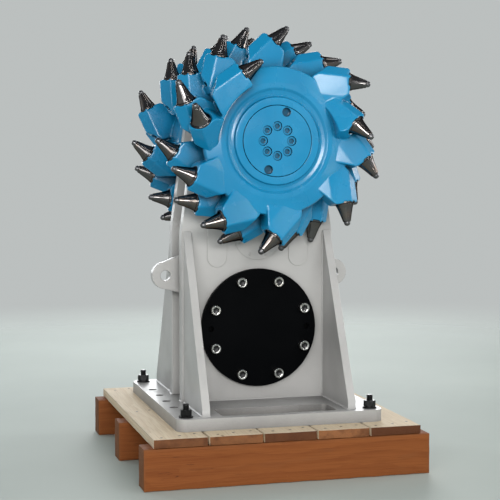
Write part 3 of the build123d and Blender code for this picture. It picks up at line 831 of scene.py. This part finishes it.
def face_frame(deg, r, a, lean, tilt, s):
    rad, cw_ = vec(deg)
    ln, tl = math.radians(lean), math.radians(tilt)
    axis = (rad * math.cos(ln) + cw_ * math.sin(ln)) * math.cos(tl) + Vector((0, s, 0)) * math.sin(tl)
    return Vector((0, s * a * MM, ZA)) + rad * r * MM, axis, rad * math.sin(ln) - cw_ * math.cos(ln)


PICK_RINGS = [  # (distance from the seat, radius)
    (-1.5, 15.2), (-0.1, 15.2), (-0.1, 26.6), (0.3, 28.2), (1.2, 29.0), (3.0, 29.0), (3.9, 28.6), (4.7, 27.4), (5.2, 26.0),
    (5.7, 25.3), (6.5, 25.2), (7.2, 25.6), (8.0, 25.4), (10.5, 24.1), (14.0, 22.6), (18.0, 21.2), (22.5, 19.8),
    (27.5, 18.3), (32.5, 16.9), (37.5, 15.5), (42.5, 14.2), (47.0, 13.0), (50.5, 12.1), (53.0, 11.4), (54.4, 10.8),
    (55.2, 9.9), (55.4, 9.3), (56.0, 9.1), (58.0, 9.0), (60.4, 8.7), (62.4, 8.0), (64.4, 6.6), (65.9, 4.6), (66.7, 2.4),
    (67.0, 0.7),
]
TIP_FROM = 55.3

for side, s in SIDES:
    groups = {"inner": [], "middle": [], "outer": [], "face": []}
    for deg, row, r in RIM_PICKS:
        groups[row].append(rim_frame(deg, row, r, s))
    for row in FACE_PICKS:
        groups["face"].append(face_frame(*row, s))
    for row, frames in groups.items():
        bm = bmesh.new()
        for k, (seat, axis, outward) in enumerate(frames):
            m = basis(seat, axis, outward)
            band = [1 if PICK_RINGS[i][0] >= TIP_FROM else 0 for i in range(len(PICK_RINGS) - 1)]
            stack(bm, m, PICK_RINGS, 56, mat=band, along=[h / PICK_LEN + 1.7 * k for h, _ in PICK_RINGS])
        o = add(f"picks_{side}_{row}_turned", to_mesh(bm, "picks"), "rotor", "pick_steel",
                mats=[MAT["pick_steel"], CARBIDE], smooth_deg=26)
        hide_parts(f"picks_{side}_{row}")

# solid just under the drum's skin, from which the holders grow
ROOT = [(97.5, 20.0), (96.0, 150.0), (96.0, 167.2), (101.9, 185.2), (112.5, 191.2), (242.5, 191.2), (249.6, 202.2),
        (256.3, 206.2), (268.8, 206.2), (274.8, 203.4), (277.9, 176.0), (279.6, 160.0), (280.0, 152.0), (268.0, 146.0), (268.0, 104.0),
        (258.0, 96.0), (258.0, 20.0)]


def grown(name, nodes, plugs, s, voxel_mm=2.0, passes=12, keep=0.2):
    """the nodes' blocks and the drum under them as one casting with soft edges and filled corners"""
    bm = bmesh.new()
    for node in nodes:
        bm.from_mesh(NODES[node].data)
    for seat, axis, outward in plugs:
        stack(bm, basis(seat, axis, outward), [(-74.0, 16.4), (-0.6, 16.4)], 24)
    stack(bm, basis((0, 0, ZA), (0, s, 0), (1, 0, 0)), ROOT, 160)
    o = bpy.data.objects.new(name + "_raw", to_mesh(bm, name + "_raw"))
    scene.collection.objects.link(o)
    m = o.modifiers.new("skin", "REMESH")
    m.mode = "VOXEL"
    m.voxel_size = voxel_mm * MM
    m.adaptivity = 0.0
    m = o.modifiers.new("soften", "SMOOTH")
    m.factor = 0.5
    m.iterations = passes
    m = o.modifiers.new("lighten", "DECIMATE")
    m.ratio = keep
    bpy.context.view_layer.update()
    me = bpy.data.meshes.new_from_object(o.evaluated_get(bpy.context.evaluated_depsgraph_get()))
    raw = o.data
    bpy.data.objects.remove(o)
    bpy.data.meshes.remove(raw)
    me.name = name
    bm = bmesh.new()
    bm.from_mesh(me)
    bmesh.ops.dissolve_degenerate(bm, dist=2e-5, edges=bm.edges)
    layer = bm.verts.layers.float.get("edge") or bm.verts.layers.float.new("edge")
    for v in bm.verts:
        bend = [e.calc_face_angle_signed(0.0) for e in v.link_edges if len(e.link_faces) == 2]
        v[layer] = max(0.0, min(1.0, (max(bend, default=0.0) - 0.15) / 0.35))
    bm.to_mesh(me)
    bm.free()
    return me


for side, s in SIDES:
    nodes = [f"pick_holders_{side}_{row}" for row in ("inner", "middle", "outer", "face")]
    plugs = [rim_frame(deg, row, r, s) for deg, row, r in RIM_PICKS] + [face_frame(*row, s) for row in FACE_PICKS]
    o = add(f"pick_holders_{side}_cast", grown(f"pick_holders_{side}_cast", nodes, plugs, s), "rotor", "drum_paint",
            smooth_deg=70.0, weighted=True)
    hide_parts(*nodes)

# ---------------------------------------------------------------------- stage
me = bpy.data.meshes.new("floor")
ring = [(40 * math.cos(2 * math.pi * k / 96), 40 * math.sin(2 * math.pi * k / 96), 0) for k in range(96)]
me.from_pydata(ring, [], [tuple(range(96))])
floor = bpy.data.objects.new("floor", me)
scene.collection.objects.link(floor)
f = Finish("floor_finish")
v = f.coords()
tone = f.mix(f.ramp(f.noise(v, 0.8, 4.0), 0.3, 0.7), (0.385, 0.430, 0.400), (0.430, 0.480, 0.445))
f.bump([(f.noise(v, 120.0, 3.0), 0.08, 0.0006)])
f.set(Base_Color=tone, Roughness=0.6, Specular_IOR_Level=0.08)
far = f.node("ShaderNodeVectorMath", operation="LENGTH")
f.wire(v, far.inputs[0])
see = f.node("ShaderNodeBsdfTransparent")
fade = f.node("ShaderNodeMixShader")
f.wire(f.ramp(far.outputs["Value"], 1.5, 4.6), fade.inputs[0])
f.wire(f.bsdf.outputs[0], fade.inputs[1])
f.wire(see.outputs[0], fade.inputs[2])
f.wire(fade.outputs[0], f.nt.nodes["Material Output"].inputs[0])
floor.data.materials.append(f.mat)

world = bpy.data.worlds.new("studio")
scene.world = world
world.use_nodes = True
wt = world.node_tree
tc = wt.nodes.new("ShaderNodeTexCoord")
sep = wt.nodes.new("ShaderNodeSeparateXYZ")
wt.links.new(tc.outputs["Generated"], sep.inputs[0])
up = wt.nodes.new("ShaderNodeMapRange")
up.interpolation_type = "SMOOTHSTEP"
wt.links.new(sep.outputs["Z"], up.inputs["Value"])
for name, value in (("From Min", 0.13), ("From Max", 0.42), ("To Min", 0.0), ("To Max", 1.0)):
    up.inputs[name].default_value = value
roof = wt.nodes.new("ShaderNodeMix")
roof.data_type = "RGBA"
wt.links.new(up.outputs["Result"], roof.inputs[0])
roof.inputs[6].default_value = (0.50, 0.525, 0.52, 1)
roof.inputs[7].default_value = (0.13, 0.14, 0.155, 1)
wt.links.new(roof.outputs[2], wt.nodes["Background"].inputs[0])
wt.nodes["Background"].inputs[1].default_value = 1.0


def area(name, loc, target, size, power, color=(1, 1, 1)):
    d = bpy.data.lights.new(name, "AREA")
    d.shape = "RECTANGLE"
    d.size, d.size_y = size
    d.energy = power
    d.color = color
    o = bpy.data.objects.new(name, d)
    scene.collection.objects.link(o)
    o.location = loc
    o.rotation_euler = (Vector(target) - Vector(loc)).to_track_quat("-Z", "Y").to_euler()
    return o


area("roof_strip_right", (1.5, -3.3, 3.4), (0.3, -2.9, 0.8), (0.045, 8.0), 21, (1.0, 0.995, 0.985))
area("roof_strip_left", (-1.0, -3.0, 3.5), (-0.2, -2.8, 0.8), (0.045, 8.0), 18, (0.97, 0.99, 1.0))
area("skylight", (1.5, -0.4, 3.6), (0.0, -0.2, 1.0), (0.9, 0.9), 6, (0.97, 0.99, 1.0))
area("rear_door", (0.5, 4.2, 1.25), (0.0, 0.0, 0.5), (4.6, 1.3), 85, (0.95, 0.985, 1.0))
area("rear_window", (-2.2, 2.2, 2.7), (-0.1, 0.0, 0.9), (0.6, 0.6), 24, (0.96, 0.985, 1.0))
area("rear_soft", (1.6, 5.2, 2.6), (0.0, 0.0, 0.5), (2.6, 1.6), 85, (1.0, 0.99, 0.98))
area("right_soft", (5.2, 0.6, 2.2), (0.0, 0.0, 0.5), (2.2, 1.6), 95, (1.0, 0.99, 0.98))
area("left_soft", (-5.6, 2.6, 2.2), (0.0, 0.0, 0.5), (2.2, 1.6), 6, (0.98, 0.99, 1.0))
area("front_strip_right", (2.20, -3.45, 1.45), (0.0, 0.0, 0.60), (0.035, 2.4), 12, (1.0, 0.985, 0.965))
area("front_wide_left", (-2.6, -3.7, 1.75), (0.0, 0.0, 0.60), (1.5, 2.2), 50, (1.0, 0.99, 0.975))
area("front_strip_far", (3.9, -1.6, 1.55), (0.0, 0.0, 0.60), (0.040, 2.4), 12, (1.0, 0.985, 0.965))
area("front_soft", (-0.8, -5.3, 1.80), (0.0, 0.0, 0.50), (2.4, 1.1), 175, (1.0, 0.985, 0.965))
for o in scene.objects:
    if o.type == "LIGHT":
        o.visible_camera = False

# --------------------------------------------------------------------- camera
cam_d = bpy.data.cameras.new("camera")
cam = bpy.data.objects.new("camera", cam_d)
scene.collection.objects.link(cam)
CAM_AT, CAM_TO = Vector((-1.0456, -3.7512, 0.8630)), Vector((0.0, 0.0, 0.607))
cam.location = CAM_AT
cam.rotation_euler = (CAM_TO - CAM_AT).to_track_quat("-Z", "Y").to_euler()
cam_d.sensor_width = 36.0
cam_d.lens = 94.0
cam_d.clip_end = 100
scene.camera = cam
scene.view_settings.view_transform = "Standard"
scene.view_settings.look = "None"

bpy.context.view_layer.update()
